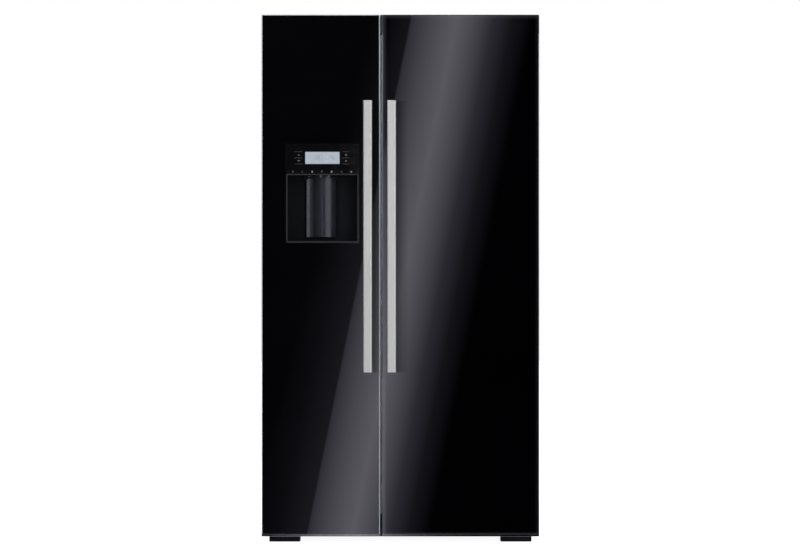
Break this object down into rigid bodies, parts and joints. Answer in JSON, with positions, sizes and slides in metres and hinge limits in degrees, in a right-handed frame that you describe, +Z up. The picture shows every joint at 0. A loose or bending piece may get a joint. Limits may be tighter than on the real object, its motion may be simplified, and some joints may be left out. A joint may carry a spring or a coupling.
{
  "type": "side by side refrigerator",
  "caption": "Free-standing side by side refrigerator with dark glass doors, upright bar handles and an ice and water dispenser in the freezer door.",
  "frame": {"origin": "on the floor, under the middle of the appliance's box, handles included", "axes": "+Z up, +X to the right seen from the front, the doors face -Y"},
  "size_m": [0.91, 0.765, 1.73],
  "materials": {
    "door_glass": "gloss",
    "edge_metal": "satin",
    "handle_metal": "satin",
    "cabinet_paint": "satin",
    "zinc_sheet": "satin",
    "base_steel": "satin",
    "hinge_steel": "satin",
    "strip_metal": "satin",
    "white_liner": "satin",
    "dark_cap": "matte",
    "black_plastic": "satin",
    "gloss_black": "gloss",
    "smoke_plastic": "gloss",
    "display_lens": "gloss",
    "clear_plastic": "gloss",
    "shelf_glass": "gloss",
    "lamp_lens": "satin",
    "seal_rubber": "matte",
    "foam": "matte",
    "coil_metal": "satin",
    "pot_paint": "satin",
    "grey_plastic": "satin"
  },
  "bodies": {
    "cabinet": {"cabinet_shell": "cabinet_paint", "back_panel": "zinc_sheet", "cabinet_foam": "foam", "freezer_liner": "white_liner", "fridge_liner": "white_liner", "mullion_strip": "strip_metal", "base_frame": "base_steel", "foot_covers": "black_plastic", "door_hinges": "hinge_steel", "hinge_covers": "black_plastic", "glass_shelves": "shelf_glass", "evaporator_cover": "white_liner", "evaporator": "coil_metal", "evaporator_fan_motor": "black_plastic", "air_duct": "white_liner", "light_covers": "lamp_lens", "ice_maker": "grey_plastic", "ice_bin": "clear_plastic", "compressor": "pot_paint", "condenser_coil": "coil_metal", "condenser_fan_motor": "black_plastic", "water_valve": "grey_plastic", "machine_cover": "zinc_sheet", "cord_gland": "black_plastic"},
    "freezer_door": {"freezer_door_frame": "edge_metal", "freezer_door_glass": "door_glass", "freezer_door_caps": "dark_cap", "freezer_door_foam": "foam", "freezer_door_liner": "white_liner", "freezer_door_gasket": "seal_rubber", "freezer_door_bins": "clear_plastic", "freezer_handle": "handle_metal", "dispenser_housing": "black_plastic", "dispenser_fascia": "gloss_black", "display_window": "display_lens", "dispenser_grille": "black_plastic"},
    "fridge_door": {"fridge_door_frame": "edge_metal", "fridge_door_glass": "door_glass", "fridge_door_caps": "dark_cap", "fridge_door_foam": "foam", "fridge_door_liner": "white_liner", "fridge_door_gasket": "seal_rubber", "fridge_door_bins": "clear_plastic", "fridge_handle": "handle_metal"},
    "dairy_lid": {"dairy_lid": "clear_plastic"},
    "dispenser_paddle": {"dispenser_paddle": "smoke_plastic"},
    "levelling_foot_left": {"levelling_foot_left": "black_plastic"},
    "levelling_foot_right": {"levelling_foot_right": "black_plastic"},
    "rear_roller_left": {"rear_roller_left": "grey_plastic"},
    "rear_roller_right": {"rear_roller_right": "grey_plastic"},
    "condenser_fan_rotor": {"condenser_fan_rotor": "grey_plastic"},
    "evaporator_fan_rotor": {"evaporator_fan_rotor": "grey_plastic"},
    "freezer_drawer_lower": {"freezer_drawer_lower": "clear_plastic"},
    "freezer_drawer_upper": {"freezer_drawer_upper": "clear_plastic"},
    "crisper_drawer_lower": {"crisper_drawer_lower": "clear_plastic"},
    "crisper_drawer_upper": {"crisper_drawer_upper": "clear_plastic"},
    "control_key_1": {"control_key_1": "gloss_black"},
    "control_key_2": {"control_key_2": "gloss_black"},
    "control_key_3": {"control_key_3": "gloss_black"},
    "control_key_4": {"control_key_4": "gloss_black"}
  },
  "joints": [
    {"name": "freezer_door_hinge", "type": "hinge", "parent": "cabinet", "child": "freezer_door", "pos_m": [-0.439, -0.2955, 0.875], "axis": [0, 0, -1], "range_deg": [0, 120]},
    {"name": "fridge_door_hinge", "type": "hinge", "parent": "cabinet", "child": "fridge_door", "pos_m": [0.439, -0.2955, 0.875], "axis": [0, 0, 1], "range_deg": [0, 120]},
    {"name": "paddle_pivot", "type": "hinge", "parent": "freezer_door", "child": "dispenser_paddle", "pos_m": [-0.262, -0.2575, 1.197], "axis": [1, 0, 0], "range_deg": [0, 5], "stiffness_Nm_per_rad": 1, "springref_deg": -2.86},
    {"name": "dairy_lid_pivot", "type": "hinge", "parent": "fridge_door", "child": "dairy_lid", "pos_m": [0.19325, -0.2585, 1.482], "axis": [1, 0, 0], "range_deg": [0, 80]},
    {"name": "control_key_1_press", "type": "slide", "parent": "freezer_door", "child": "control_key_1", "axis": [0, 1, 0], "range_m": [0, 0.0008], "stiffness_N_per_m": 800, "springref_m": -0.0004},
    {"name": "control_key_2_press", "type": "slide", "parent": "freezer_door", "child": "control_key_2", "axis": [0, 1, 0], "range_m": [0, 0.0008], "stiffness_N_per_m": 800, "springref_m": -0.0004},
    {"name": "control_key_3_press", "type": "slide", "parent": "freezer_door", "child": "control_key_3", "axis": [0, 1, 0], "range_m": [0, 0.0008], "stiffness_N_per_m": 800, "springref_m": -0.0004},
    {"name": "control_key_4_press", "type": "slide", "parent": "freezer_door", "child": "control_key_4", "axis": [0, 1, 0], "range_m": [0, 0.0008], "stiffness_N_per_m": 800, "springref_m": -0.0004},
    {"name": "levelling_left", "type": "slide", "parent": "cabinet", "child": "levelling_foot_left", "axis": [0, 0, -1], "range_m": [0, 0.012]},
    {"name": "roller_left_spin", "type": "hinge", "parent": "cabinet", "child": "rear_roller_left", "pos_m": [-0.436, 0.33, 0.022], "axis": [1, 0, 0], "continuous": true},
    {"name": "levelling_right", "type": "slide", "parent": "cabinet", "child": "levelling_foot_right", "axis": [0, 0, -1], "range_m": [0, 0.012]},
    {"name": "roller_right_spin", "type": "hinge", "parent": "cabinet", "child": "rear_roller_right", "pos_m": [0.436, 0.33, 0.022], "axis": [1, 0, 0], "continuous": true},
    {"name": "condenser_fan_spin", "type": "hinge", "parent": "cabinet", "child": "condenser_fan_rotor", "pos_m": [-0.066, 0.27725, 0.139], "axis": [1, 0, 0], "continuous": true},
    {"name": "evaporator_fan_spin", "type": "hinge", "parent": "cabinet", "child": "evaporator_fan_rotor", "pos_m": [-0.25675, 0.262, 0.92], "axis": [0, 1, 0], "continuous": true},
    {"name": "freezer_drawer_lower_slide", "type": "slide", "parent": "cabinet", "child": "freezer_drawer_lower", "axis": [0, -1, 0], "range_m": [0, 0.055]},
    {"name": "freezer_drawer_upper_slide", "type": "slide", "parent": "cabinet", "child": "freezer_drawer_upper", "axis": [0, -1, 0], "range_m": [0, 0.055]},
    {"name": "crisper_drawer_lower_slide", "type": "slide", "parent": "cabinet", "child": "crisper_drawer_lower", "axis": [0, -1, 0], "range_m": [0, 0.055]},
    {"name": "crisper_drawer_upper_slide", "type": "slide", "parent": "cabinet", "child": "crisper_drawer_upper", "axis": [0, -1, 0], "range_m": [0, 0.055]}
  ]
}
